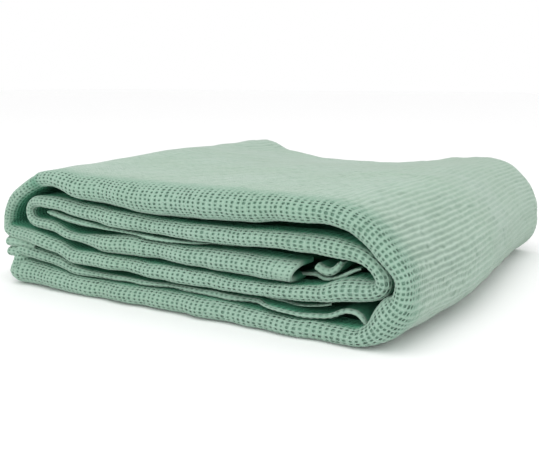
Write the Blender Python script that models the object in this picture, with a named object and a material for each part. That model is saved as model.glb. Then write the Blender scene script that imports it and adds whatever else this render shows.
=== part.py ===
"""A bedspread of open cellular weave, folded for the shelf.

The cloth is one piece, with its hem. It is folded in four across its width, into a long strip, and the strip
is then folded along its length into flat runs that lie on each other, joined by round turns at the two ends.
The solid is that strip, one back-and-forth section with its layers a little apart. Its path lies in the XZ
plane, and its width runs along Y, with a round fold at the front and at the back.

Metres, +Z up, X along the long front, -Y towards the front, origin at the bottom centre.
"""

import math
from collections import namedtuple

import bmesh
import bpy
import numpy as np

MM = 0.001

# Driving dimensions
CLOTH_WIDTH = 1.80
STRIP_WIDTH = CLOTH_WIDTH / 4
FRONT_Y = -STRIP_WIDTH / 2
BACK_Y = STRIP_WIDTH / 2
STACK_MIDDLE = (-0.0188, -0.0008)  # x and y of the middle of the stack's box, which becomes the origin

# One row for each flat run, in the order of the cloth's path. left and right are where the run ends, in mm.
# under and thick are the height of the strip's lower face and its thickness, in mm, at even stations from
# left to right. setback is how far the front fold lies behind the foremost one at the run's ends, in mm.
Run = namedtuple("Run", "name heading left right under thick setback")
RUNS = (
    Run(
        "loose",
        -1,
        -205,
        172,
        (28.3, 22.2, 17.6, 18.5, 19.2, 19.0, 18.0, 18.5, 20.5),
        (11.5, 11.0, 6.3, 4.6, 4.2, 4.2, 4.6, 4.8, 4.6),
        (3, 8),
    ),
    Run(
        "base",
        +1,
        -205,
        176,
        (0, 0, 0, 0, 0, 0, 0, 0, 0),
        (26.5, 21.0, 16.5, 17.5, 18.2, 18.0, 15.8, 14.4, 15.0),
        (-4, -3),
    ),
    Run(
        "top",
        -1,
        -158,
        148,
        (100.5, 90.7, 87.0, 82.8, 83.3, 84.4, 85.8, 91.0, 91.2),
        (15.5, 22.3, 26.0, 29.2, 28.7, 27.6, 26.2, 21.5, 19.3),
        (3, 2),
    ),
    Run(
        "fourth",
        +1,
        -185,
        170,
        (42.0, 36.0, 28.2, 28.2, 28.0, 26.4, 26.2, 26.0, 26.0, 26.2, 27.3, 29.6, 33.0),
        (13.5, 13.5, 13.5, 13.8, 13.3, 14.0, 13.8, 13.4, 12.8, 12.2, 12.0, 13.5, 20.0),
        (1, 3),
    ),
    Run(
        "second",
        -1,
        -168,
        156,
        (79.0, 70.8, 67.2, 65.2, 65.6, 67.3, 66.0),
        (12.0, 15.4, 15.5, 15.0, 14.8, 15.5, 16.5),
        (6, 4),
    ),
    Run(
        "third",
        +1,
        -168,
        112,
        (57.0, 49.6, 43.6, 43.0, 43.0, 42.4, 41.3, 40.8, 41.2),
        (10.5, 8.5, 15.5, 18.6, 16.5, 17.0, 19.0, 20.0, 20.5),
        (7, 3),
    ),
)

# One row for each turn between two runs: how far out its middle line reaches and its thickness there, in mm,
# how deep a groove runs along its outside, in mm, its power, from 0 for a square end to 1 for an ellipse,
# how much its widest place is moved towards its end, and how much thicker it swells on its inside in the
# first and in the second half of its bend, in mm.
Turn = namedtuple("Turn", "name reach thick groove power sag swell shoulder")
TURNS = (
    Turn("lobed_end", -215.5, 19.0, 4.0, 1.0, 0.0, 0.0, 0.0),
    Turn("right_outer", 214, 13.0, 0.0, 1.0, 0.0, 17.0, 4.0),
    Turn("left_outer", -215, 16.0, 0.0, 0.7, 0.25, 0.0, 0.0),
    Turn("right_inner", 194.5, 12.0, 0.0, 0.75, -0.12, 0.0, 0.0),
    Turn("left_inner", -195, 9.5, 0.0, 0.6, 0.0, 0.0, 0.0),
)
TURN_STEPS = 10
GROOVE_ANGLE = math.radians(112)  # how far round its turn the groove runs
GROOVE_SHARPNESS = 14  # a higher power makes a turn's groove narrower

# The thin end hem, which curls up beyond the last run: places of its middle line, thickness and setback
# in mm.
Curl = namedtuple("Curl", "x z thick setback")
HEM_CURL = (
    Curl(118, 52.0, 12.0, 14),
    Curl(126, 55.5, 5.5, 15),
    Curl(138, 59.0, 4.5, 14),
    Curl(149, 57.5, 4.2, 13),
    Curl(155, 52.0, 4.0, 12),
)

# How the stack's top changes from front to back, as a share of its height at the front.
SHARE_X = (-0.210, -0.180, -0.140, -0.070, 0.000, 0.060, 0.100, 0.150)
SHARE_Y = (FRONT_Y, 0.0, BACK_Y)
TOP_SHARE = (
    (1.00, 1.00, 1.00, 1.00, 1.00, 1.00, 1.00, 1.00),
    (1.07, 1.06, 1.03, 0.98, 0.98, 0.99, 1.00, 1.02),
    (1.14, 1.04, 0.93, 0.86, 0.87, 0.91, 0.96, 1.00),
)
SHARE_HEIGHT = 0.113  # the height at which a share applies in full
# The stack is a little skewed: at the back each end lies further left, by this share of its distance
# from x = 0.
BACK_SKEW_LEFT = 0.13
BACK_SKEW_RIGHT = 0.15
SKEW_START_Y = FRONT_Y / 2
FLAT_UNDER = 0.0004  # what lies lower than this rests flat

# The soft edges wander in and out along the strip: depth and length of each wave, in metres.
EDGE_WAVES = ((0.0012, 0.083), (0.0008, 0.047))

FINE_STEP = 0.0015  # between points of the smooth line that the sections are cut from
SOFTEN_OVER = 7  # fine points that each one is averaged over
SECTION_STEP = 0.0155  # between sections along the strip
BEND_WEIGHT = 2.0  # how much more closely sections stand in a turn
FOLD_STEPS = 4  # faces round each quarter of a front or back fold
FACE_STEPS = 5  # faces across the strip between its folds
FOLD_DEPTH = 0.7  # depth of a front or back fold, as a share of the thickness

CLOTH_GREEN = (0.36, 0.53, 0.43, 1.0)


def stations(run):
    """The run's stations in the direction of the path, as rows of x, z, thick, setback, groove."""
    count = len(run.under)
    across = np.linspace(run.left, run.right, count)
    setback = np.linspace(run.setback[0], run.setback[1], count)
    middle = np.add(run.under, np.divide(run.thick, 2))
    rows = np.column_stack([across, middle, run.thick, setback, np.zeros(count)])
    return rows if run.heading > 0 else rows[::-1]


def turn_points(start, end, turn):
    """Points of a turn from one run's last station to the next one's first, on half a rounded oval."""
    outward = math.copysign(1, turn.reach)
    rows = []
    for step in range(1, TURN_STEPS):
        angle = math.pi * step / TURN_STEPS
        bulge = math.sin(angle) ** turn.power * (1 - turn.sag * math.cos(angle))
        row = start + (end - start) * (1 - math.cos(angle)) / 2
        row[0] += (turn.reach - (start[0] + end[0]) / 2) * bulge
        row[2] += (turn.thick - (start[2] + end[2]) / 2) * bulge
        swell = (turn.swell if angle < math.pi / 2 else turn.shoulder) * math.sin(2 * angle) ** 2
        row[0] -= outward * swell / 2 * math.sin(angle)
        row[1] += outward * swell / 2 * math.cos(angle)
        row[2] += swell
        row[4] = turn.groove * max(math.cos(angle - GROOVE_ANGLE), 0) ** GROOVE_SHARPNESS
        rows.append(row)
    return rows


def key_points():
    """The whole path from the loose end to the hem, as rows of x, z, thick, setback, groove in metres."""
    rows = list(stations(RUNS[0]))
    for turn, run in zip(TURNS, RUNS[1:]):
        following = stations(run)
        rows += turn_points(rows[-1], following[0], turn)
        rows += list(following)
    rows += [np.array([*curl, 0.0]) for curl in HEM_CURL]
    return np.array(rows) * MM


def smooth_path(keys, step):
    """A smooth line through the key points that never swings past them, cut into even sections.

    A point where a value turns back gets a level slope, and any other the harmonic mean of its two rises.
    """
    reach = np.concatenate([[0], np.cumsum(np.linalg.norm(np.diff(keys[:, :2], axis=0), axis=1))])
    rise = np.diff(keys, axis=0) / np.diff(reach)[:, None]
    before, after = rise[:-1], rise[1:]
    rising_on = before * after > 0
    harmonic = 2 * before * after / np.where(rising_on, before + after, 1)
    slopes = np.vstack([rise[:1], np.where(rising_on, harmonic, 0), rise[-1:]])
    fine = []
    for k, span in enumerate(np.diff(reach)):
        for t in np.linspace(0, 1, int(span / FINE_STEP) + 2)[:-1]:
            share = smooth_step(t)
            leave = (t - 2 * t**2 + t**3) * span * slopes[k]
            arrive = (t**3 - t**2) * span * slopes[k + 1]
            fine.append(keys[k] * (1 - share) + keys[k + 1] * share + leave + arrive)
    fine = softened(np.array(fine + [keys[-1]]))
    travel = np.linalg.norm(np.diff(fine[:, :2], axis=0), axis=1)
    heading = np.unwrap(np.arctan2(np.diff(fine[:, 1]), np.diff(fine[:, 0])))
    bend = np.abs(np.gradient(heading))
    along = np.concatenate([[0], np.cumsum(travel + bend * step * BEND_WEIGHT)])
    places = np.linspace(0, along[-1], int(along[-1] / step) + 1)
    return np.column_stack([np.interp(places, along, column) for column in fine.T])


def softened(points):
    """The line with each point moved to the mean of those near it."""
    around = SOFTEN_OVER // 2
    padded = np.pad(points, ((around, around), (0, 0)), mode="edge")
    window = np.full(SOFTEN_OVER, 1 / SOFTEN_OVER)
    return np.column_stack([np.convolve(column, window, mode="valid") for column in padded.T])


def smooth_step(value):
    """Rises smoothly from 0 to 1 as the value does."""
    value = min(max(value, 0.0), 1.0)
    return value * value * (3 - 2 * value)


def smooth_blend(places, values, at):
    """The value at a place, with a smooth step from each station to the next."""
    for low, high, a, b in zip(places, places[1:], values, values[1:]):
        if at <= high:
            return a + (b - a) * smooth_step((at - low) / (high - low))
    return values[-1]


def settle(x, y, z):
    """Moves a point of the even stack to where the soft, sagging stack has it."""
    share = smooth_blend(SHARE_Y, [smooth_blend(SHARE_X, row, x) for row in TOP_SHARE], y)
    z *= 1 + (share - 1) * z / SHARE_HEIGHT
    if z < FLAT_UNDER:
        z = 0.0
    back = smooth_step((y - SKEW_START_Y) / (BACK_Y - SKEW_START_Y))
    x -= abs(x) * back * (BACK_SKEW_RIGHT if x > 0 else BACK_SKEW_LEFT)
    return x - STACK_MIDDLE[0], y - STACK_MIDDLE[1], z


def edge_wave(along):
    """How far the front and back edges wander at this distance along the strip."""
    return sum(depth * math.sin(2 * math.pi * along / length) for depth, length in EDGE_WAVES)


def section_loop(row, normal, along):
    """The closed loop round the strip at one place: front fold, inner face, back fold, outer face."""
    x, z, thick, setback, groove = row
    depth = thick * FOLD_DEPTH
    front = FRONT_Y + setback + edge_wave(along)
    back = BACK_Y - setback / 2 + edge_wave(along + STRIP_WIDTH)
    quarter = [math.pi / 2 * step / FOLD_STEPS for step in range(-FOLD_STEPS, FOLD_STEPS + 1)]
    front_fold = [(front + depth * (1 - math.cos(a)), math.sin(a)) for a in quarter]
    back_fold = [(back - depth * (1 - math.cos(a)), -math.sin(a)) for a in quarter]
    flat = [front + depth + (back - front - 2 * depth) * step / FACE_STEPS for step in range(1, FACE_STEPS)]
    ring = front_fold + [(y, 1.0) for y in flat] + back_fold + [(y, -1.0) for y in reversed(flat)]
    points = []
    for y, side in ring:
        out = side * (thick / 2 - (groove if side < 0 else 0.0))
        points.append(settle(x + normal[0] * out, y, z + normal[1] * out))
    return points


def folded_strip():
    """The mesh of the whole folded cloth: a loft through the sections, closed at both ends."""
    rows = smooth_path(key_points(), SECTION_STEP)
    steps = np.linalg.norm(np.diff(rows[:, :2], axis=0), axis=1)
    along = np.concatenate([[0], np.cumsum(steps)])
    tangent = np.gradient(rows[:, :2], axis=0)
    tangent /= np.linalg.norm(tangent, axis=1)[:, None]
    normals = np.column_stack([-tangent[:, 1], tangent[:, 0]])
    mesh = bmesh.new()
    loops = [[mesh.verts.new(point) for point in section_loop(*each)] for each in zip(rows, normals, along)]
    for near, far in zip(loops, loops[1:]):
        for k, corner in enumerate(near):
            after = (k + 1) % len(near)
            mesh.faces.new((corner, near[after], far[after], far[k]))
    for loop in (loops[0], loops[-1]):
        close_end(mesh, loop)
    bmesh.ops.recalc_face_normals(mesh, faces=mesh.faces)
    return mesh


def close_end(mesh, loop):
    """Closes an end of the loft with a row of faces between the upper and the lower side of its loop."""
    half = len(loop) // 2
    inner = [loop[FOLD_STEPS + k] for k in range(half + 1)]
    outer = [loop[FOLD_STEPS - k] for k in range(half + 1)]
    for k in range(half):
        corners = dict.fromkeys([inner[k], inner[k + 1], outer[k + 1], outer[k]])
        mesh.faces.new(list(corners))


def cloth_material():
    """Soft sage-green cotton."""
    material = bpy.data.materials.new("sage_cotton")
    material.use_nodes = True
    shader = material.node_tree.nodes["Principled BSDF"]
    shader.inputs["Base Color"].default_value = CLOTH_GREEN
    shader.inputs["Roughness"].default_value = 0.9
    shader.inputs["Metallic"].default_value = 0.0
    return material


def main():
    """Clears the scene and builds the folded cloth."""
    for old in list(bpy.data.objects):
        bpy.data.objects.remove(old)
    collection = bpy.data.collections.new("bedspread")
    bpy.context.scene.collection.children.link(collection)
    loft = folded_strip()
    data = bpy.data.meshes.new("bedspread")
    loft.to_mesh(data)
    loft.free()
    data.shade_smooth()
    data.materials.append(cloth_material())
    collection.objects.link(bpy.data.objects.new("bedspread", data))


main()
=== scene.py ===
"""The looks of the folded bedspread: its open weave, soft folds and hems, its cotton, and a plain studio.

The cloth lies in four layers as one strip, which follows the same folded path as in the part's source. A
point of the strip is named by its place along the path, s, and its place round the strip from its front
edge, v, which is above 0 on the strip's inner side and below 0 on its outer side. Both are measured on the
cloth, so the cells of the weave keep their size wherever the strip bends.

Metres, +Z up, X along the open front, -Y towards the front.
"""

import math
from collections import namedtuple

import bpy
import numpy as np
from mathutils import Matrix, Vector


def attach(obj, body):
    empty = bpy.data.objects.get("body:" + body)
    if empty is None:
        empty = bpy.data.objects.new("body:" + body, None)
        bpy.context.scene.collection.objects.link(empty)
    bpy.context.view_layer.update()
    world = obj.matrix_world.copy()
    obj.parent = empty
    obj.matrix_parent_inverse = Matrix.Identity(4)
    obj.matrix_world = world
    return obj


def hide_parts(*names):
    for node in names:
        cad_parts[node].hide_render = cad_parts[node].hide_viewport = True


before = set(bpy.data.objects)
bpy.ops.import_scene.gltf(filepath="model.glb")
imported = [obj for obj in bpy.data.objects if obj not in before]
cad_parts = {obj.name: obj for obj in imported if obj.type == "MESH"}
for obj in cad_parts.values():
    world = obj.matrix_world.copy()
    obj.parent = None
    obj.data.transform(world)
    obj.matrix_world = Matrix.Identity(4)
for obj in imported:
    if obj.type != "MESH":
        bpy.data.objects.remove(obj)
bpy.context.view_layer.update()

MM = 0.001
DRAWS = np.random.default_rng(7)  # for the small differences between the cells

# The cloth and its strip, as in the part's source
FLAT_SIZE = (1.80, 2.50)
STRIP_WIDTH = FLAT_SIZE[0] / 4
FRONT_Y = -STRIP_WIDTH / 2
BACK_Y = STRIP_WIDTH / 2
STACK_MIDDLE = (-0.0188, -0.0008)  # x and y of the middle of the stack's box, which becomes the origin

# One row for each flat run, in the order of the cloth's path: where it ends, its lower face and its
# thickness at even stations from left to right, and how far its front lies back at its two ends, in mm
Run = namedtuple("Run", "name heading left right under thick setback")
RUNS = (
    Run(
        "loose",
        -1,
        -205,
        78,
        (28.3, 22.2, 17.6, 18.5, 19.2, 19.0, 18.0),
        (11.5, 11.0, 6.3, 4.6, 4.2, 4.2, 4.6),
        (3, 10),
    ),
    Run(
        "base",
        +1,
        -205,
        176,
        (0, 0, 0, 0, 0, 0, 0, 0, 0),
        (26.5, 21.0, 16.5, 17.5, 18.2, 18.0, 15.8, 14.4, 15.0),
        (-4, -3),
    ),
    Run(
        "top",
        -1,
        -158,
        148,
        (100.5, 90.7, 87.0, 82.8, 83.3, 84.4, 85.8, 91.0, 91.2),
        (15.5, 22.3, 26.0, 29.2, 28.7, 27.6, 26.2, 21.5, 19.3),
        (3, 2),
    ),
    Run(
        "fourth",
        +1,
        -185,
        170,
        (42.0, 36.0, 28.2, 28.2, 28.0, 26.4, 26.2, 26.0, 26.0, 26.2, 27.3, 29.6, 33.0),
        (13.5, 13.5, 13.5, 13.8, 13.3, 14.0, 13.8, 13.4, 12.8, 12.2, 12.0, 13.5, 20.0),
        (1, 3),
    ),
    Run(
        "second",
        -1,
        -168,
        156,
        (79.0, 70.8, 67.2, 65.2, 65.6, 67.3, 66.0),
        (12.0, 15.4, 15.5, 15.0, 14.8, 15.5, 16.5),
        (6, 4),
    ),
    Run(
        "third",
        +1,
        -168,
        123,
        (57.0, 49.6, 43.6, 43.0, 43.0, 42.4, 41.3, 40.8, 41.2),
        (10.5, 8.5, 15.5, 18.6, 16.5, 17.0, 19.0, 20.0, 18.5),
        (7, 3),
    ),
)

# One row for each turn between two runs: how far out its middle line reaches and its thickness there, in
# mm, its power, from 0 for a square end to 1 for an ellipse, how much its widest place is moved towards its
# end, and how much thicker it swells on its inside in the first and in the second half of its bend, in mm
Turn = namedtuple("Turn", "name reach thick power sag swell shoulder")
TURNS = (
    Turn("lobed_end", -206.0, 19.0, 1.0, -0.35, 0.0, 0.0),
    Turn("right_outer", 214, 13.0, 1.0, 0.0, 17.0, 4.0),
    Turn("left_outer", -220, 15.0, 0.7, 0.25, 0.0, 0.0),
    Turn("right_inner", 194.5, 12.0, 0.75, -0.12, 0.0, 0.0),
    Turn("left_inner", -195, 9.5, 0.6, 0.0, 0.0, 0.0),
)
TURN_STEPS = 10  # steps round a turn between its two runs
# A groove along the lobed end: how far round its turn it runs, and its depth and width
GROOVE_ANGLE = math.radians(88)
GROOVE_DEPTH = 0.0065
GROOVE_WIDTH = math.radians(11)
# The left outer turn's front lies back behind the top run's: how far, from where round the turn, over how
# much of it, and where it comes forward again
TUCK_DEPTH = 0.006
TUCK_ANGLE = math.radians(12)
TUCK_OVER = math.radians(14)
TUCK_END = math.radians(95)
TUCK_END_OVER = math.radians(70)
TURNED_OVER = math.radians(170)  # from here on the left outer turn counts as passed
FULLY_BENT = 0.5  # the strip counts as fully bent where the sine of its angle reaches this

# Thin stretches of cloth by places of their middle line, thickness and setback, in mm
Place = namedtuple("Place", "x z thick setback")
LOOSE_WAVE = (
    Place(182.5, 17.2, 3.0, 9),
    Place(180.0, 20.4, 3.2, 8),
    Place(177.0, 23.8, 3.4, 8),
    Place(171.5, 26.0, 3.4, 7),
    Place(164, 25.8, 3.4, 7),
    Place(158, 22.8, 3.4, 7),
    Place(151, 20.0, 3.4, 7),
    Place(142, 18.4, 3.4, 7),
    Place(130, 17.7, 3.4, 4),
    Place(118, 18.8, 3.4, 1),
    Place(104, 20.2, 3.4, 0),
    Place(92, 20.4, 3.4, 2),
)
# The small layers that show between the runs. The shade is the least painted fold shade on a layer.
# The two lobes have none, and their ends are closed.
Layer = namedtuple("Layer", "name shade places")
LAYERS = (
    Layer(
        "upper_lobe",
        0.0,
        (
            Place(-184, 38.2, 6.0, 8),
            Place(-200, 41.0, 9.4, 3),
            Place(-213, 42.0, 10.4, 0),
            Place(-217, 42.1, 10.0, 0),
            Place(-218.6, 42.1, 8.6, 0),
        ),
    ),
    Layer(
        "lower_lobe",
        0.0,
        (
            Place(-184, 29.8, 6.0, 8),
            Place(-200, 31.0, 9.0, 3),
            Place(-212, 31.8, 10.2, 0),
            Place(-216, 31.9, 9.8, 0),
            Place(-217.6, 31.9, 8.4, 0),
        ),
    ),
    Layer(
        "inner_layer",
        0.3,
        (
            Place(-168, 75.2, 4.6, 9),
            Place(-150, 71.4, 4.4, 9),
            Place(-133, 69.4, 4.2, 9),
            Place(-103, 67.0, 4.0, 9),
            Place(-71, 65.0, 3.2, 9),
            Place(-37, 63.2, 2.6, 10),
            Place(-8, 62.0, 2.2, 12),
            Place(40, 62.8, 2.0, 22),
            Place(90, 64.0, 2.0, 40),
        ),
    ),
    Layer(
        "curled_layer",
        0.3,
        (
            Place(158.5, 64.5, 3.6, 13),
            Place(155.0, 59.5, 4.4, 12),
            Place(150.5, 54.9, 5.6, 11),
            Place(144.5, 52.9, 6.4, 11),
            Place(139.0, 54.8, 6.4, 12),
            Place(134.0, 57.6, 6.0, 13),
        ),
    ),
    Layer(
        "lining_layer",
        0.3,
        (
            Place(110, 44.6, 2.2, 30),
            Place(122, 46.6, 2.4, 24),
            Place(131, 48.2, 2.4, 20),
            Place(140, 46.2, 2.4, 18),
            Place(150, 48.2, 2.4, 17),
            Place(160, 52.6, 2.4, 16),
            Place(168, 57.4, 2.4, 16),
            Place(175, 59.6, 2.4, 16),
        ),
    ),
    Layer(
        "loose_layer",
        0.3,
        (
            Place(40, 24.4, 1.8, 30),
            Place(80, 23.8, 2.0, 22),
            Place(104, 23.6, 2.2, 16),
            Place(118, 22.8, 2.2, 14),
            Place(130, 23.6, 2.4, 13),
            Place(142, 25.6, 2.4, 13),
            Place(150, 28.0, 2.4, 13),
        ),
    ),
)

# How the stack's top changes from front to back, as a share of its height at the front
SHARE_X = (-0.210, -0.180, -0.140, -0.070, 0.000, 0.060, 0.100, 0.150)
SHARE_Y = (FRONT_Y, 0.0, BACK_Y)
TOP_SHARE = (
    (1.00, 1.00, 1.00, 1.00, 1.00, 1.00, 1.00, 1.00),
    (1.07, 1.06, 1.03, 0.98, 0.98, 0.99, 1.00, 1.02),
    (1.14, 1.04, 0.93, 0.86, 0.87, 0.91, 0.96, 1.00),
)
SHARE_HEIGHT = 0.113  # the height at which a share applies in full
# At the back each end of the stack lies further left, by this share of its distance from x = 0
BACK_SKEW_LEFT = 0.13
BACK_SKEW_RIGHT = 0.15
SKEW_START_Y = FRONT_Y / 2
EDGE_WAVES = ((0.0012, 0.083), (0.0008, 0.047))  # depth and length of the waves along the soft edges
FLOOR_GAP = 0.0004  # no point of the cloth lies lower than this

FINE_STEP = 0.0015  # about how far apart the points of a strip's smooth line are
SOFTEN_OVER = 7  # fine points that each one is averaged over
FOLD_DEPTH = 0.7  # depth of a front fold, as a share of the strip's thickness
FOLD_POINTS = 60  # places round a quarter of a fold at which its length is known
BACK_NOSE = 0.4  # height of each of the strip's two back folds, as a share of the strip's thickness

# The weave: a cell's length along the strip and round it, shares of a cell, and depths under the surface
CELL = np.array([0.0055, 0.0037])
BEND_TIGHTER = 0.3  # in the steepest part of a turn the cells are this much shorter
KNOT_RISE = 0.00018  # the crossings of the ribs stand out
RIB_DROP = 0.00010
CLOTH_DROP = 0.0018  # the plain cloth under the weave
MOST_SUNK = 0.4  # that cloth lies at most this share of half the thickness down
HOLE_SPREAD = 0.16  # how much the holes' sizes differ
HOLE_SHIFT = 0.045  # how far the holes lie off their cells' middles
OPEN_PLACES = (-0.20, 0.0, 0.13, 0.20)  # the holes grow from left to right, in these shares
OPEN_SHARES = (0.84, 0.92, 1.0, 1.12)

# The hem at both ends of the strip, with smaller and shallower holes that get less painted shade
HEM_WIDTH = 0.019
HEM_HOLE = 0.62
HEM_DEPTH = 0.6
HEM_SHADE_SHARE = 0.8
STITCH_REACH = (0.45, 1.5)  # the holes along the hem's stitching are this much shorter and taller
HEM_SLANT = 0.007  # how far the hem's lower corner lies behind its upper one
HEM_SLANT_FROM = 0.04  # the slant begins this far before the strip's end
HEM_SLANT_OVER = 0.024  # and runs over this length round the front edge

# How strongly the painted hole shade, a darker green for the shade in the holes, shows on each part of a
# cell
KNOT_SHADE = 0.0
RIB_SHADE = 0.08
CLOTH_SHADE = 0.66
HOLE_SHADE_SPREAD = 0.12  # how much the holes' painted shade differs
PALEST_DRAW = -2  # limits of the random draw behind that spread
DARKEST_DRAW = 1

# The rings of points that lead from a cell's crests down to its hole: the ring's share of the cell, its
# depth, its share of painted hole shade, how far out its corners stand, and how much it follows the size of
# its own hole
Ring = namedtuple("Ring", "share drop tint corners follows")
SHOULDER = Ring(np.array([0.36, 0.39]), 0.00035, 0.25, 0.9, 0.4)
HOLE = Ring(np.array([0.22, 0.28]), 0.0008, 0.58, 0.75, 1.0)
FINE_RINGS = (SHOULDER, HOLE)
COARSE_RINGS = (HOLE,)
# A cell's corners and the middles of its sides, in order
AROUND_CELL = ((-1, -1), (0, -1), (1, -1), (1, 0), (1, 1), (0, 1), (-1, 1), (-1, 0))

# Painted shade: a deeper green stands in for the shade that falls into a fold of the pack. It starts at this
# share of the front fold's half, and deepens over this share of it and this length
FOLD_SHADE_FROM = 0.40
FOLD_SHADE_OVER = 0.70
FOLD_SHADE_MORE = 0.004
LEFT_FOLD_SHADE_FROM = 0.02  # the share at which it starts on the left outer turn
# Every front fold gets a little painted shade, greener than the faces, which fades into them over this
# length
FRONT_FOLD_SHADE = 0.24
FRONT_FADE = 0.02
STEP_FOLD_SHADE = 0.75  # the most painted shade, in green, where the left outer turn starts to lie back
# The back folds show, so they get this much less painted shade, which changes over this length
BACK_SHOWN = 0.8
BACK_FADE = 0.006
# The holes' painted shade grows paler from this far behind the front edge, down to this share over this
# length
CALM_FROM = 0.017
CALM_SHARE = 0.28
CALM_OVER = 0.035

# The pack's outside begins this far along the strip before its lobed end, and ends this far beyond its left
# outer turn. There its outer side gets no painted fold shade. It fades in and out over this length.
OPEN_BEFORE = 0.025
OPEN_BEYOND = 0.045
OPEN_FADE = 0.01

NOSE_ROWS = 9  # rows of cells on each side of the strip's front edge
LAYER_ROWS = 6  # rows of cells on each side of a small layer's front edge
# The woven outside reaches this far under the base and under the left turn, and this far round the back
OUTSIDE_FROM = 0.085
OUTSIDE_TO = 0.075
OUTSIDE_MORE = 0.018
NEAR_SHARE = 0.4  # this share of its rows, nearest to the front, is woven more finely
LOBED_REACH = 0.033  # the woven outside of the lobed end reaches this far to each side along the strip

# The plain cloth: steps along the strip, and faces from one mark round the strip to the next. The marks are
# the front edge, the ends of the front fold, the face and the back folds, and the free inner edge.
CLOTH_STEP = 0.005
LAYER_STEP = 0.003
MARK_FACES = (7, 40, 7, 21)
FREE_EDGE = 0.03  # the inner layers end this far behind the front fold
# Its share of painted hole shade round the back folds, which show and get less: places counted in marks, and
# the share at each
BACK_SHADE_MARKS = (1.97, 2.0, 3.0, 3.06)
BACK_SHADES = (1.0, 0.2, 0.2, 1.0)

# The thick edge at an end of a strip: how far it lies behind that end at each depth under the surface
RIM_DEPTHS = (0.0, 0.0006, 0.0018, 0.0032, 0.0044, 0.0054, 0.0060)
RIM_BEHIND = (0.0012, 0.0001, -0.0004, -0.0002, 0.0008, 0.0030, 0.0080)
# painted shade at each depth, which darkens the edge deeper in towards the hollow between the layers
RIM_SHADES = (0.05, 0.05, 0.05, 0.05, 0.15, 0.6, 1.0)
RIM_STEP = 0.001  # between points along the edge

BAKE_MARGIN_ALONG = 0.01  # free share of the baked picture at each end of a band, or of a sheet's sides
BAKE_MARGIN_ROUND = 0.02  # and at each long side of a band, as a share of its height

# Soft waves of the cloth: height, the lengths along the strip and round it that one radian takes, phase, and
# how far and over what such lengths the crests bend
Wave = namedtuple(
    "Wave",
    "height along around phase bend bend_along bend_around",
    defaults=(0.0, 0.0, math.inf, math.inf),
)
DRIFT_ALONG = (Wave(0.0005, math.inf, 0.0315, bend=1.7, bend_along=0.041), Wave(0.00015, 0.0063, 0.0071))
DRIFT_ROUND = (Wave(0.0005, 0.0176, math.inf, bend=1.3, bend_around=0.037), Wave(0.0002, 0.0049, -0.0083))
FINE_SWELLS = (Wave(0.00024, 0.0067, 0.011), Wave(0.0002, 0.0041, -0.0093, phase=1.3))
BROAD_SWELLS = (Wave(0.0008, 0.019, math.inf, bend=1.4, bend_around=0.08),)
BROAD_SHARES = (Wave(1.0, math.inf, 0.047, phase=0.8, bend=1.0, bend_along=0.06),)


def nose_table():
    """Lengths of cloth round a quarter of a front fold of unit half height, and the angle at each one."""
    angles = np.linspace(0, math.pi / 2, FOLD_POINTS)
    places = np.column_stack([2 * FOLD_DEPTH * np.cos(angles), np.sin(angles)])
    steps = np.linalg.norm(np.diff(places, axis=0), axis=1)
    return np.concatenate([[0], np.cumsum(steps)]), angles


NOSE_ARC, NOSE_ANGLE = nose_table()
NOSE_LENGTH = NOSE_ARC[-1]


def smooth_step(value):
    """Rises smoothly from 0 to 1 as the value does."""
    value = np.clip(value, 0.0, 1.0)
    return value * value * (3 - 2 * value)


def smooth_blend(places, values, at):
    """The value at each place, with a smooth step from each station to the next."""
    places = np.array(places)
    low = np.clip(np.searchsorted(places, at) - 1, 0, len(places) - 2)
    share = smooth_step((at - places[low]) / (places[low + 1] - places[low]))
    return values[low] + (values[low + 1] - values[low]) * share


def top_share(x, y):
    """The stack's height at this place, as a share of that at the front."""
    rows = [smooth_blend(SHARE_X, np.array(row), x) for row in TOP_SHARE]
    low = np.clip(np.searchsorted(SHARE_Y, y) - 1, 0, len(SHARE_Y) - 2)
    near = np.choose(low, rows[:-1])
    far = np.choose(low, rows[1:])
    starts = np.array(SHARE_Y)
    return near + (far - near) * smooth_step((y - starts[low]) / (starts[low + 1] - starts[low]))


def settle(x, y, z):
    """Moves points of the even stack to where the soft, sagging stack has them."""
    z = z * (1 + (top_share(x, y) - 1) * z / SHARE_HEIGHT)
    z = np.maximum(z, FLOOR_GAP)
    back = smooth_step((y - SKEW_START_Y) / (BACK_Y - SKEW_START_Y))
    x = x - np.abs(x) * back * np.where(x > 0, BACK_SKEW_RIGHT, BACK_SKEW_LEFT)
    return np.stack([x - STACK_MIDDLE[0], y - STACK_MIDDLE[1], z], axis=-1)


def edge_wave(along):
    """How far the front and back edges wander at this distance along the strip."""
    return sum(depth * np.sin(2 * math.pi * along / length) for depth, length in EDGE_WAVES)


def wave_height(waves, s, v):
    """The sum of the waves at each place along the strip and round it."""
    height = 0.0
    for wave in waves:
        bent = wave.bend * np.sin(s / wave.bend_along + v / wave.bend_around)
        height = height + wave.height * np.sin(s / wave.along + v / wave.around + wave.phase + bent)
    return height


def drift(s, v):
    """Where each thread really runs, as the threads wander a little along the strip and round it."""
    return s + wave_height(DRIFT_ALONG, s, v), v + wave_height(DRIFT_ROUND, s, v)


def stations(run):
    """The run's stations in the direction of the path, as rows of x, z, thick, setback."""
    count = len(run.under)
    across = np.linspace(run.left, run.right, count)
    setback = np.linspace(run.setback[0], run.setback[1], count)
    middle = np.add(run.under, np.divide(run.thick, 2))
    rows = np.column_stack([across, middle, run.thick, setback])
    return rows if run.heading > 0 else rows[::-1]


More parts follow.
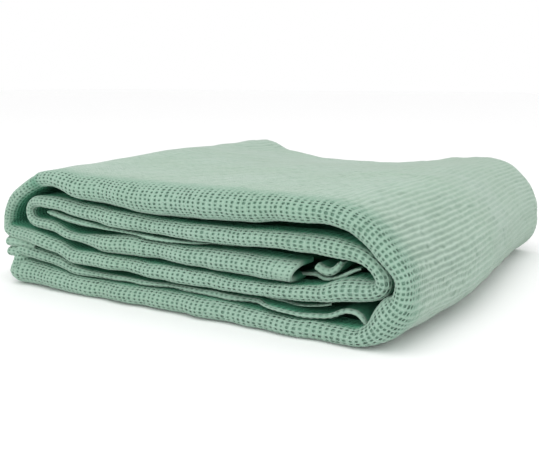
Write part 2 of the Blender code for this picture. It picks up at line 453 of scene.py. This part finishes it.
def turn_points(start, end, turn):
    """Points of a turn from one run's last station to the next one's first, on half a rounded oval."""
    outward = math.copysign(1, turn.reach)
    rows = []
    for step in range(1, TURN_STEPS):
        angle = math.pi * step / TURN_STEPS
        bulge = math.sin(angle) ** turn.power * (1 - turn.sag * math.cos(angle))
        row = start + (end - start) * (1 - math.cos(angle)) / 2
        row[0] += (turn.reach - (start[0] + end[0]) / 2) * bulge
        row[2] += (turn.thick - (start[2] + end[2]) / 2) * bulge
        swell = (turn.swell if angle < math.pi / 2 else turn.shoulder) * math.sin(2 * angle) ** 2
        row[0] -= outward * swell / 2 * math.sin(angle)
        row[1] += outward * swell / 2 * math.cos(angle)
        row[2] += swell
        rows.append(row)
    return rows


def place_rows(places):
    """Rows of x, z, thick, setback for a thin stretch."""
    return [np.array(place) for place in places]


def main_rows():
    """The whole path from the loose, wavy end to the hem, in mm."""
    rows = place_rows(LOOSE_WAVE) + list(stations(RUNS[0]))
    for turn, run in zip(TURNS, RUNS[1:]):
        following = stations(run)
        rows += turn_points(rows[-1], following[0], turn)
        rows += list(following)
    return rows


def softened(points):
    """The line with each point moved to the mean of those near it."""
    around = SOFTEN_OVER // 2
    padded = np.pad(points, ((around, around), (0, 0)), mode="edge")
    window = np.full(SOFTEN_OVER, 1 / SOFTEN_OVER)
    return np.column_stack([np.convolve(column, window, mode="valid") for column in padded.T])


def smooth_line(keys):
    """A fine line through the key points that never swings past them.

    A point where a value turns back gets a level slope, and any other the harmonic mean of its two rises.
    """
    reach = np.concatenate([[0], np.cumsum(np.linalg.norm(np.diff(keys[:, :2], axis=0), axis=1))])
    rise = np.diff(keys, axis=0) / np.diff(reach)[:, None]
    before, after = rise[:-1], rise[1:]
    rising_on = before * after > 0
    harmonic = 2 * before * after / np.where(rising_on, before + after, 1)
    slopes = np.vstack([rise[:1], np.where(rising_on, harmonic, 0), rise[-1:]])
    fine = []
    for k, span in enumerate(np.diff(reach)):
        for t in np.linspace(0, 1, int(span / FINE_STEP) + 2)[:-1]:
            share = smooth_step(t)
            leave = (t - 2 * t**2 + t**3) * span * slopes[k]
            arrive = (t**3 - t**2) * span * slopes[k + 1]
            fine.append(keys[k] * (1 - share) + keys[k + 1] * share + leave + arrive)
    return softened(np.array(fine + [keys[-1]]))


Section = namedtuple("Section", "x z thick setback groove normal_x normal_z")


class Strip:
    """A strip of folded cloth along a path in the XZ plane, with a round front fold and two back folds."""

    def __init__(self, rows):
        self.fine = smooth_line(np.array(rows) * MM)
        steps = np.linalg.norm(np.diff(self.fine[:, :2], axis=0), axis=1)
        self.along = np.concatenate([[0], np.cumsum(steps)])
        self.length = self.along[-1]
        tangent = np.gradient(self.fine[:, :2], axis=0)
        tangent = softened(tangent / np.linalg.norm(tangent, axis=1)[:, None])
        tangent /= np.linalg.norm(tangent, axis=1)[:, None]
        self.normals = np.column_stack([-tangent[:, 1], tangent[:, 0]])
        self.groove = np.zeros(len(self.along))  # depth of a groove along the outer side
        self.step_shade = np.zeros(len(self.along))  # least painted fold shade on the front fold
        self.open_span = (self.length, self.length)  # the stretch on the pack's outside, none at first
        self.fold_shade_from = np.full(len(self.along), FOLD_SHADE_FROM)
        self.shaded = 0.0  # least painted fold shade all over
        self.slant = 0.0  # how far the lower corner of its last end lies back
        self.columns = self.column_places()

    def column_places(self):
        """Where the columns of cells begin: a cell apart on the level, closer in a turn, up to the end."""
        steep = self.normals[:, 0] ** 2
        cells = np.diff(self.along) / (CELL[0] * (1 - BEND_TIGHTER * (steep[1:] + steep[:-1]) / 2))
        counted = np.concatenate([[0], np.cumsum(cells)])
        numbers = counted[-1] - np.arange(int(counted[-1]), -1, -1)
        return np.interp(numbers, counted, self.along)

    def column_at(self, s):
        """The column that begins nearest to this place."""
        return int(np.argmin(np.abs(self.columns - s)))

    def open_outside(self):
        """Marks the stretch whose outer side is the pack's outside, with its groove, tuck and painted fold
        shade.

        Gives the outermost places of the lobed end, the right and the left outer turn along the strip.
        """
        place = self.fine[:, 0]
        right = np.argmax(place)
        lobed = np.argmin(place[:right])
        left = right + np.argmin(place[right:])
        self.open_span = (self.along[lobed] - OPEN_BEFORE, self.along[left] + OPEN_BEYOND)
        turned = np.arctan2(self.normals[:, 0], -self.normals[:, 1])
        self.groove = GROOVE_DEPTH * np.exp(-(((turned - GROOVE_ANGLE) / GROOVE_WIDTH) ** 2))
        self.groove[(lobed + right) // 2:] = 0
        tuck = smooth_step((turned - TUCK_ANGLE) / TUCK_OVER)
        tuck *= smooth_step(1 - (turned - TUCK_END) / TUCK_END_OVER)
        far_side = (right + left) // 2
        after = left + np.argmax(turned[left:] > TURNED_OVER)
        self.fine[far_side:after, 3] += TUCK_DEPTH * tuck[far_side:after]
        step = np.exp(-(((turned - TUCK_ANGLE - TUCK_OVER / 2) / TUCK_OVER) ** 2))
        self.step_shade[far_side:left] = STEP_FOLD_SHADE * step[far_side:left]
        bent = smooth_step(np.sin(turned[far_side:after]) / FULLY_BENT)
        self.fold_shade_from[far_side:after] += (LEFT_FOLD_SHADE_FROM - FOLD_SHADE_FROM) * bent
        return self.along[lobed], self.along[right], self.along[left]

    def at(self, s):
        """The strip's section at each place along it."""
        columns = [*self.fine.T, self.groove, *self.normals.T]
        return Section(*(np.interp(s, self.along, column) for column in columns))

    def spans(self, s):
        """Lengths of cloth from the front edge to the ends of front fold, face and back fold."""
        at = self.at(s)
        front = FRONT_Y + at.setback + edge_wave(s)
        back = BACK_Y - at.setback / 2 + edge_wave(s + STRIP_WIDTH)
        small = at.thick / 2 * BACK_NOSE
        nose = at.thick / 2 * NOSE_LENGTH
        face = nose + (back - small * 2 * FOLD_DEPTH) - (front + at.thick * FOLD_DEPTH)
        return nose, face, face + 2 * small * NOSE_LENGTH

    def inside(self, s, v):
        """How far each point lies inside a fold of the pack, from 0 where it is open to 1: its painted fold
        shade.
        """
        nose, face, back_fold = self.spans(s)
        reach = np.abs(v)
        start = nose * np.interp(s, self.along, self.fold_shade_from)
        deep = smooth_step((reach - start) / (nose * FOLD_SHADE_OVER + FOLD_SHADE_MORE))
        begun = smooth_step((s - self.open_span[0]) / OPEN_FADE)
        shown = begun * smooth_step((self.open_span[1] - s) / OPEN_FADE)
        past_face = smooth_step((reach - face) / BACK_FADE + 1)
        at_back = past_face * smooth_step((back_fold - reach) / BACK_FADE + 1)
        deep = deep * (1 - BACK_SHOWN * at_back)
        near = 1 - smooth_step((reach - nose) / FRONT_FADE)
        step = np.interp(s, self.along, self.step_shade) * smooth_step(1 + v / nose)
        # painted shade at least: all over a small layer, on every front fold, and at the left turn's step
        least = np.maximum(self.shaded, near * np.maximum(FRONT_FOLD_SHADE, step))
        return np.maximum(deep * (1 - shown * (v < 0)), least)

    def unevenness(self, s, v):
        """How far soft, shallow swells of the cloth stand out, less inside a fold."""
        broad = wave_height(BROAD_SWELLS, s, v) * wave_height(BROAD_SHARES, s, v)
        return (wave_height(FINE_SWELLS, s, v) + broad) * (1 - self.inside(s, v))

    def point(self, s, v, sunk):
        """Where each point lies, by its place along and round the strip and its depth under the surface."""
        s, v, sunk = np.broadcast_arrays(s, v, sunk)
        low_side = smooth_step(0.5 - v / HEM_SLANT_OVER)
        s = s - self.slant * low_side * smooth_step(1 - (self.length - s) / HEM_SLANT_FROM)
        at = self.at(s)
        nose, face, back_fold = self.spans(s)
        half = at.thick / 2
        depth = at.thick * FOLD_DEPTH
        sunk = sunk * np.minimum(1, half * MOST_SUNK / CLOTH_DROP) - self.unevenness(s, v)
        side = np.where(v < 0, -1.0, 1.0)
        reach = np.abs(v)
        front = FRONT_Y + at.setback + edge_wave(s)
        angle = np.interp(reach / half, NOSE_ARC, NOSE_ANGLE)
        on_nose = (front + depth - (depth - sunk) * np.cos(angle), (half - sunk) * np.sin(angle))
        on_face = (front + depth + reach - nose, half - sunk)
        small = half * BACK_NOSE
        small_depth = small * 2 * FOLD_DEPTH
        turned = (reach - face) / small
        first = turned < NOSE_LENGTH
        left = np.where(first, NOSE_LENGTH - turned, turned - NOSE_LENGTH)
        angle = np.interp(left, NOSE_ARC, NOSE_ANGLE)
        at_face = front + depth + face - nose
        rise = np.where(first, 1, -1) * (small - sunk) * np.sin(angle)
        on_back = (at_face + (small_depth - sunk) * np.cos(angle), half - small + rise)
        on_inner = (at_face - (reach - back_fold), half - 2 * small + sunk)
        choices = [reach < nose, reach < face, reach < back_fold]
        parts = zip(on_nose, on_face, on_back, on_inner)
        y, out = (np.select(choices, values[:-1], values[-1]) for values in parts)
        out = side * out * np.where(side < 0, 1 - at.groove / half, 1)
        return settle(at.x + at.normal_x * out, y, at.z + at.normal_z * out)


# Points, faces and map places of a piece of mesh, with the shares of painted shade in the holes and in the
# folds. The map for baking has a place for each corner of a face.
Patch = namedtuple("Patch", "points faces places baked holes folds")


def grid(along, around):
    """Every pair of a value along the strip and one round it."""
    return np.stack(np.meshgrid(along, around, indexing="ij"), axis=-1)


class WovenPoints:
    """The points of a stretch of weave, collected with their depths and shares of painted hole shade."""

    def __init__(self):
        self.places = []
        self.drops = []
        self.hole_shades = []
        self.count = 0

    def add(self, places, drop, tint):
        """Collects a grid of points, and gives their numbers."""
        numbers = self.count + np.arange(places[..., 0].size).reshape(places.shape[:2])
        self.places.append(places.reshape(-1, 2))
        self.drops.append(np.broadcast_to(drop, numbers.shape).ravel())
        self.hole_shades.append(np.broadcast_to(tint, numbers.shape).ravel())
        self.count += numbers.size
        return numbers


def hole_loops(strip, woven, middle, cell, rings):
    """The numbers of the points in each ring round the cells' holes, which all differ a little."""
    from_end = np.minimum(middle[..., 0], strip.length - middle[..., 0])
    hem = from_end < HEM_WIDTH
    stitched = np.abs(from_end - HEM_WIDTH) < CELL[0] / 2
    opened = np.interp(strip.at(middle[..., 0]).x, OPEN_PLACES, OPEN_SHARES)
    size = (1 + HOLE_SPREAD * DRAWS.standard_normal(hem.shape)) * np.where(hem, HEM_HOLE, opened)
    reach = size[..., None] * np.where(stitched[..., None], STITCH_REACH, 1)
    shift = DRAWS.standard_normal(middle.shape) * cell * HOLE_SHIFT
    # the painted shade in each hole differs a little, fades behind the front edge and is less on the hem
    drawn = np.clip(DRAWS.standard_normal(hem.shape), PALEST_DRAW, DARKEST_DRAW)
    calm = 1 - (1 - CALM_SHARE) * smooth_step((np.abs(middle[..., 1]) - CALM_FROM) / CALM_OVER)
    hole_shade_share = calm * np.where(hem, HEM_SHADE_SHARE, 1) * (1 + HOLE_SHADE_SPREAD * drawn)
    drop_share = np.where(hem, HEM_DEPTH, 1)
    loops = []
    for ring in rings:
        loop = []
        widened = cell * reach**ring.follows
        for along, around in AROUND_CELL:
            pull = ring.corners if along and around else 1.0
            places = middle + shift + np.array([along, around]) * widened * ring.share * pull
            loop.append(woven.add(places, ring.drop * drop_share, ring.tint * hole_shade_share))
        loops.append(loop)
    return loops


def weave_patch(strip, start, stop, low, rows, rings=FINE_RINGS):
    """A stretch of open weave: the strip's columns from start to stop, and its rows of cells from low on.

    A cell's edge lies on the crests of its ribs, and from there rings of faces lead down into the hole.
    """
    s_lines = strip.columns[start:stop + 1]
    v_lines = CELL[1] * (low + np.arange(rows + 1))
    mid_s = (s_lines[1:] + s_lines[:-1]) / 2
    mid_v = v_lines[:-1] + CELL[1] / 2
    woven = WovenPoints()
    corner = woven.add(grid(s_lines, v_lines), -KNOT_RISE, KNOT_SHADE)
    low_side = woven.add(grid(mid_s, v_lines), RIB_DROP, RIB_SHADE)
    left_side = woven.add(grid(s_lines, mid_v), RIB_DROP, RIB_SHADE)
    edge = [
        corner[:-1, :-1],
        low_side[:, :-1],
        corner[1:, :-1],
        left_side[1:, :],
        corner[1:, 1:],
        low_side[:, 1:],
        corner[:-1, 1:],
        left_side[:-1, :],
    ]
    cell = grid(np.diff(s_lines), np.full(rows, CELL[1]))
    loops = [edge, *hole_loops(strip, woven, grid(mid_s, mid_v), cell, rings)]
    faces = []
    for outer, inner in zip(loops, loops[1:]):
        for k in range(len(AROUND_CELL)):
            after = (k + 1) % len(AROUND_CELL)
            faces.append(np.stack([outer[k], outer[after], inner[after], inner[k]], axis=-1))
    faces = np.stack(faces, axis=2).reshape(stop - start, rows, -1, 4)
    places = np.concatenate(woven.places)
    s, v = drift(places[:, 0], places[:, 1])
    s = np.clip(s, 0, strip.length)
    points = strip.point(s, v, np.concatenate(woven.drops))
    column_numbers = np.interp(places[:, 0], strip.columns, range(len(strip.columns)))
    threads = np.column_stack([column_numbers, places[:, 1] / CELL[1]])
    baked = bake_places(threads, faces)
    # shares of painted shade: in the holes, and in the folds of the pack
    holes = np.minimum(np.concatenate(woven.hole_shades), 1)
    return Patch(points, faces.reshape(-1, 4), threads, baked, holes, strip.inside(s, v))


def bake_places(threads, faces):
    """Map places for the faces' corners, with the columns folded into bands so that they fill a square."""
    columns, rows = faces.shape[:2]
    bands = max(1, round(math.sqrt(columns * CELL[0] / (rows * CELL[1]))))
    in_band = math.ceil(columns / bands)
    band = (np.arange(columns) // in_band)[:, None, None, None]
    places = (threads - threads.min(axis=0))[faces]
    along = (places[..., 0] - band * in_band) / in_band
    along = BAKE_MARGIN_ALONG + (1 - 2 * BAKE_MARGIN_ALONG) * along
    around = BAKE_MARGIN_ROUND + (1 - 2 * BAKE_MARGIN_ROUND) * places[..., 1] / rows
    return np.stack([along, (band + around) / bands], axis=-1).reshape(-1, 2)


def sheet_patch(strip, s, v, sunk, tint):
    """A plain stretch of cloth through a grid of places along the strip and round it."""
    s, v, sunk = np.broadcast_arrays(s, v, sunk)
    number = np.arange(s.size).reshape(s.shape)
    faces = np.stack([number[:-1, :-1], number[1:, :-1], number[1:, 1:], number[:-1, 1:]], axis=-1)
    faces = faces.reshape(-1, 4)
    sides = [np.linspace(BAKE_MARGIN_ALONG, 1 - BAKE_MARGIN_ALONG, count) for count in s.shape]
    return Patch(
        strip.point(s, v, sunk).reshape(-1, 3),
        faces,
        np.stack([s, v], axis=-1).reshape(-1, 2) / CELL,
        grid(*sides).reshape(-1, 2)[faces].reshape(-1, 2),
        np.broadcast_to(tint, s.shape).ravel(),
        strip.inside(s, v).ravel(),
    )


def inner_cloth(strip, step, tint=CLOTH_SHADE):
    """The layers' plain cloth under the weave, from one free inner edge round the front to the other."""
    s = np.linspace(0, strip.length, int(strip.length / step) + 2)
    nose, face, back_fold = strip.spans(s)
    free = back_fold + face - nose - FREE_EDGE
    marks = np.stack([np.zeros(len(s)), nose, face, back_fold, free], axis=1)
    parts = [np.linspace(mark, mark + 1, count + 1)[:-1] for mark, count in enumerate(MARK_FACES)]
    shares = np.concatenate([*parts, [len(MARK_FACES)]])
    half = np.stack([np.interp(shares, range(len(row)), row) for row in marks])
    v = np.concatenate([-half[:, :0:-1], half], axis=1)
    # the plain cloth gets painted hole shade, less round the back folds, which show
    hole_shades = np.minimum(np.interp(shares, BACK_SHADE_MARKS, BACK_SHADES), tint)
    return sheet_patch(strip, s[:, None], v, CLOTH_DROP, np.concatenate([hole_shades[:0:-1], hole_shades]))


def rim_patch(strip, at_end, reach=NOSE_ROWS * CELL[1]):
    """The thick edge at an end of the strip, which leads in to the hollow between the layers."""
    v = np.linspace(-reach, reach, 2 * round(reach / RIM_STEP) + 1)
    behind = np.array(RIM_BEHIND)[:, None]
    place = strip.length - behind if at_end else behind
    thinness = strip.at(place[0]).thick / 2 / RIM_DEPTHS[-1]
    depths = np.array(RIM_DEPTHS)[:, None] * np.minimum(1, thinness)
    # painted shade, darker deeper in
    return sheet_patch(strip, place, v, depths, np.array(RIM_SHADES)[:, None])


def cloth_piece(name, patches, material):
    """One object made of the patches."""
    starts = np.cumsum([0] + [len(patch.points) for patch in patches[:-1]])
    points = np.concatenate([patch.points for patch in patches])
    faces = np.concatenate([patch.faces + start for patch, start in zip(patches, starts)])
    places = np.concatenate([patch.places[patch.faces.ravel()] for patch in patches])
    baked = np.concatenate([(patch.baked + [0, k]) / [1, len(patches)] for k, patch in enumerate(patches)])
    mesh = bpy.data.meshes.new(name)
    mesh.vertices.add(len(points))
    mesh.vertices.foreach_set("co", points.astype(np.float32).ravel())
    mesh.loops.add(faces.size)
    mesh.loops.foreach_set("vertex_index", faces.astype(np.int32).ravel())
    mesh.polygons.add(len(faces))
    mesh.polygons.foreach_set("loop_start", np.arange(0, faces.size, 4, dtype=np.int32))
    mesh.update(calc_edges=True)
    mesh.shade_smooth()
    for map_name, values in (("weave", places), ("OFBake", baked)):
        mesh.uv_layers.new(name=map_name).uv.foreach_set("vector", values.astype(np.float32).ravel())
    # shares of painted shade in the holes and in the folds, which the material reads
    for kind in ("holes", "folds"):
        values = np.concatenate([getattr(patch, kind) for patch in patches]).astype(np.float32)
        mesh.attributes.new(kind, "FLOAT", "POINT").data.foreach_set("value", values)
    mesh.materials.append(material)
    piece = bpy.data.objects.new(name, mesh)
    bpy.context.scene.collection.objects.link(piece)
    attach(piece, "root")
    return piece


# The cotton's colours at three values of its noises: its own on the crests, and painted shade in the holes
# and deep in the folds, a darker and more saturated green
COLOUR_STOPS = (0.35, 0.65, 0.9)
CREST_COLOURS = ((0.350, 0.475, 0.370), (0.375, 0.500, 0.410), (0.410, 0.520, 0.450))
HOLE_SHADE_COLOURS = ((0.165, 0.305, 0.225), (0.190, 0.335, 0.255), (0.215, 0.360, 0.280))
FOLD_SHADE_COLOURS = ((0.030, 0.225, 0.120), (0.042, 0.255, 0.145), (0.056, 0.280, 0.165))
# how far the painted fold shade goes at most
FOLD_SHADE_STRENGTH = 0.9
# The noises: broad patches, fine specks and loose fibres, in waves for each metre
PATCH_SCALE = 11.0
PATCH_DETAIL = 3.0
PATCH_RANGE = (0.15, 0.75)
SPECK_SCALE = 420.0
SPECK_SHARE = 0.4
FIBRE_SCALE = 1500.0
FIBRE_BUMP = (0.0002, 0.5)  # height and strength
# The yarn's twist, by the cells of the weave
TWIST_SCALE = 2.2
TWIST_DISTORTION = 1.5
TWIST_DETAIL = 1.0
TWIST_BUMP = (0.00025, 0.6)  # height and strength
ROUGHNESS_RANGE = (0.82, 0.98)
SHEEN_RANGE = (0.4, 0.0)  # on an open face, and where the fold shade is painted in full
SHEEN_ROUGHNESS = 0.45
COTTON_SPECULAR = 0.2


class Nodes:
    """A material's node tree, with short calls to add nodes and links."""

    def __init__(self, tree):
        self.tree = tree

    def add(self, kind, **settings):
        """A new node with these settings."""
        node = self.tree.nodes.new(kind)
        for name, value in settings.items():
            setattr(node, name, value)
        return node

    def link(self, source, target):
        """Links one socket to another."""
        self.tree.links.new(source, target)

    def noise(self, vector, scale, detail=2.0):
        """The value of a noise of this scale."""
        node = self.add("ShaderNodeTexNoise")
        node.inputs["Scale"].default_value = scale
        node.inputs["Detail"].default_value = detail
        self.link(vector, node.inputs["Vector"])
        return node.outputs[0]

    def ramp(self, value, colours):
        """A colour for the value, from the colours at their stops."""
        node = self.add("ShaderNodeValToRGB")
        ramp = node.color_ramp
        for place in COLOUR_STOPS[len(ramp.elements):]:
            ramp.elements.new(place)
        for element, place, colour in zip(ramp.elements, COLOUR_STOPS, colours):
            element.position = place
            element.color = (*colour, 1.0)
        self.link(value, node.inputs["Fac"])
        return node.outputs["Color"]

    def scaled(self, value, low, high):
        """The value moved from 0 and 1 to low and high."""
        node = self.add("ShaderNodeMapRange")
        node.inputs["To Min"].default_value = low
        node.inputs["To Max"].default_value = high
        self.link(value, node.inputs["Value"])
        return node.outputs["Result"]

    def mixed(self, share, first, second):
        """A mix of two colour sockets."""
        node = self.add("ShaderNodeMix", data_type="RGBA")
        self.link(share, node.inputs["Factor"])
        self.link(first, node.inputs["A"])
        self.link(second, node.inputs["B"])
        return node.outputs["Result"]

    def bump(self, height, distance, strength, normal=None):
        """A normal from a height."""
        node = self.add("ShaderNodeBump")
        node.inputs["Distance"].default_value = distance
        node.inputs["Strength"].default_value = strength
        self.link(height, node.inputs["Height"])
        if normal is not None:
            self.link(normal, node.inputs["Normal"])
        return node.outputs["Normal"]


def cotton():
    """Soft cotton: colour that varies a little, painted shade in holes and folds, twisted yarn and loose
    fibres.
    """
    material = bpy.data.materials.new("sage_cotton")
    material.use_nodes = True
    tree = Nodes(material.node_tree)
    shader = material.node_tree.nodes["Principled BSDF"]
    places = tree.add("ShaderNodeTexCoord").outputs["Object"]
    threads = tree.add("ShaderNodeUVMap", uv_map="weave").outputs["UV"]
    holes = tree.add("ShaderNodeAttribute", attribute_name="holes").outputs["Fac"]
    folds = tree.add("ShaderNodeAttribute", attribute_name="folds").outputs["Fac"]
    specks = tree.noise(places, SPECK_SCALE)
    both = tree.add("ShaderNodeMath", operation="MULTIPLY_ADD")
    tree.link(specks, both.inputs[0])
    both.inputs[1].default_value = SPECK_SHARE
    tree.link(tree.scaled(tree.noise(places, PATCH_SCALE, PATCH_DETAIL), *PATCH_RANGE), both.inputs[2])
    crest = tree.ramp(both.outputs[0], CREST_COLOURS)
    hole = tree.ramp(both.outputs[0], HOLE_SHADE_COLOURS)
    fold = tree.ramp(both.outputs[0], FOLD_SHADE_COLOURS)
    # painted shade: the holes' darker green, then the folds' deeper green
    open_cloth = tree.mixed(holes, crest, hole)
    colour = tree.mixed(tree.scaled(folds, 0.0, FOLD_SHADE_STRENGTH), open_cloth, fold)
    tree.link(colour, shader.inputs["Base Color"])
    twist = tree.add("ShaderNodeTexWave", wave_type="BANDS", bands_direction="DIAGONAL")
    twist.inputs["Scale"].default_value = TWIST_SCALE
    twist.inputs["Distortion"].default_value = TWIST_DISTORTION
    twist.inputs["Detail"].default_value = TWIST_DETAIL
    tree.link(threads, twist.inputs["Vector"])
    yarn = tree.bump(twist.outputs["Fac"], *TWIST_BUMP)
    fibres = tree.noise(places, FIBRE_SCALE)
    tree.link(tree.bump(fibres, *FIBRE_BUMP, yarn), shader.inputs["Normal"])
    tree.link(tree.scaled(specks, *ROUGHNESS_RANGE), shader.inputs["Roughness"])
    # less sheen where the fold shade is painted
    tree.link(tree.scaled(folds, *SHEEN_RANGE), shader.inputs["Sheen Weight"])
    shader.inputs["Sheen Roughness"].default_value = SHEEN_ROUGHNESS
    shader.inputs["Specular IOR Level"].default_value = COTTON_SPECULAR
    return material


def front_weave(strip, start, stop, rows):
    """The weave round a strip's front edge, with this many rows of cells on each side of it."""
    return weave_patch(strip, start, stop, -rows, 2 * rows)


def outside_parts(strip, lobed, right, left):
    """The weave on the pack's outside: a part near the front, and one further back and on the lobed end."""
    rows = round((STRIP_WIDTH + OUTSIDE_MORE) / CELL[1]) - NOSE_ROWS
    near = int(rows * NEAR_SHARE)
    lowest = -NOSE_ROWS - rows
    start = strip.column_at(right - OUTSIDE_FROM)
    stop = strip.column_at(left + OUTSIDE_TO)
    front = weave_patch(strip, start, stop, -NOSE_ROWS - near, near)
    back = weave_patch(strip, start, stop, lowest, rows - near, COARSE_RINGS)
    start = strip.column_at(lobed - LOBED_REACH)
    stop = strip.column_at(lobed + LOBED_REACH)
    lobed_end = weave_patch(strip, start, stop, lowest, rows, COARSE_RINGS)
    return [("weave_outside_front", [front]), ("weave_outside_back", [back, lobed_end])]


def layer_patches(layer):
    """A small layer's weave and plain cloth, and on a lobe the edge that closes its end."""
    strip = Strip(place_rows(layer.places))
    strip.shaded = layer.shade
    is_lobe = not layer.shade
    # a lobe gets no painted shade deeper in its folds
    if is_lobe:
        strip.fold_shade_from[:] = math.inf
    weave = front_weave(strip, 0, len(strip.columns) - 1, LAYER_ROWS)
    if not is_lobe:
        return [weave, inner_cloth(strip, LAYER_STEP)]
    face_end = strip.spans(strip.length)[1]
    return [weave, inner_cloth(strip, LAYER_STEP, SHOULDER.tint), rim_patch(strip, True, face_end)]


def build_cloth():
    """All pieces of the bedspread."""
    cloth = cotton()
    strip = Strip(main_rows())
    strip.slant = HEM_SLANT
    lobed, right, left = strip.open_outside()
    sheet = cloth_piece("bedspread_cloth", [inner_cloth(strip, CLOTH_STEP)], cloth)
    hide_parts("bedspread")
    last = len(strip.columns) - 1
    parts = [
        ("weave_front_low", [front_weave(strip, 0, last // 2, NOSE_ROWS)]),
        ("weave_front_top", [front_weave(strip, last // 2, last, NOSE_ROWS)]),
        ("hem_edges", [rim_patch(strip, True), rim_patch(strip, False)]),
    ]
    parts += outside_parts(strip, lobed, right, left)
    parts += [(layer.name, layer_patches(layer)) for layer in LAYERS]
    pieces = [cloth_piece(name, patches, cloth) for name, patches in parts]


# The camera, as worked out from the photograph: its place in the even stack's own frame, its three axes,
# the picture's width and the lens's length in its pixels, and a usual sensor's width in mm
CAMERA_PLACE = (0.4615, -0.7750, 0.2033)
CAMERA_RIGHT = (0.835856, 0.548948, 0.0)
CAMERA_DOWN = (0.097447, -0.148378, -0.984118)
CAMERA_AHEAD = (-0.540230, 0.822581, -0.177516)
FRAME_WIDTH = 539
FOCAL_PIXELS = 839.9
SENSOR = 36.0
CLIP_START = 0.01  # nothing nearer to the camera shows

# The studio
Lamp = namedtuple("Lamp", "name place size power")
LAMPS = (
    Lamp("key", (0.4, -0.9, 2.1), 1.6, 12.0),
    Lamp("fill", (0.4, -2.0, 0.5), 1.4, 8.0),
)
LAMPS_AIM = (0, 0, 0.05)
FLOOR_REACH = 12.0  # from its middle to each side
FLOOR_COLOUR = (0.98, 0.98, 0.98, 1)
FLOOR_ROUGHNESS = 0.9
FLOOR_SPECULAR = 0.1
WORLD_COLOUR = (1, 1, 1, 1)
WORLD_STRENGTH = 1.0


def add_camera():
    """The camera, placed as the photograph's."""
    data = bpy.data.cameras.new("camera")
    data.sensor_width = SENSOR
    data.lens = SENSOR * FOCAL_PIXELS / FRAME_WIDTH
    data.clip_start = CLIP_START
    camera = bpy.data.objects.new("camera", data)
    place = (CAMERA_PLACE[0] - STACK_MIDDLE[0], CAMERA_PLACE[1] - STACK_MIDDLE[1], CAMERA_PLACE[2])
    rows = [(a, -b, -c, d) for a, b, c, d in zip(CAMERA_RIGHT, CAMERA_DOWN, CAMERA_AHEAD, place)]
    camera.matrix_world = Matrix([*rows, (0, 0, 0, 1)])
    bpy.context.scene.collection.objects.link(camera)
    bpy.context.scene.camera = camera


def add_lamp(lamp):
    """A soft square lamp that faces the cloth."""
    data = bpy.data.lights.new(lamp.name, "AREA")
    data.size = lamp.size
    data.energy = lamp.power
    light = bpy.data.objects.new(lamp.name, data)
    light.location = lamp.place
    light.rotation_euler = (Vector(LAMPS_AIM) - Vector(lamp.place)).to_track_quat("-Z", "Y").to_euler()
    bpy.context.scene.collection.objects.link(light)


def add_floor():
    """A plain white floor."""
    mesh = bpy.data.meshes.new("floor")
    corners = [(x * FLOOR_REACH, y * FLOOR_REACH, 0) for x, y in ((-1, -1), (1, -1), (1, 1), (-1, 1))]
    mesh.from_pydata(corners, [], [(0, 1, 2, 3)])
    material = bpy.data.materials.new("floor_white")
    material.use_nodes = True
    shader = material.node_tree.nodes["Principled BSDF"]
    shader.inputs["Base Color"].default_value = FLOOR_COLOUR
    shader.inputs["Roughness"].default_value = FLOOR_ROUGHNESS
    shader.inputs["Specular IOR Level"].default_value = FLOOR_SPECULAR
    mesh.materials.append(material)
    floor = bpy.data.objects.new("floor", mesh)
    bpy.context.scene.collection.objects.link(floor)


def add_world():
    """An even white studio."""
    world = bpy.data.worlds.new("studio")
    world.use_nodes = True
    background = world.node_tree.nodes["Background"]
    background.inputs["Color"].default_value = WORLD_COLOUR
    background.inputs["Strength"].default_value = WORLD_STRENGTH
    bpy.context.scene.world = world
    bpy.context.scene.view_settings.view_transform = "Standard"


add_camera()
add_world()
add_floor()
for lamp in LAMPS:
    add_lamp(lamp)
build_cloth()
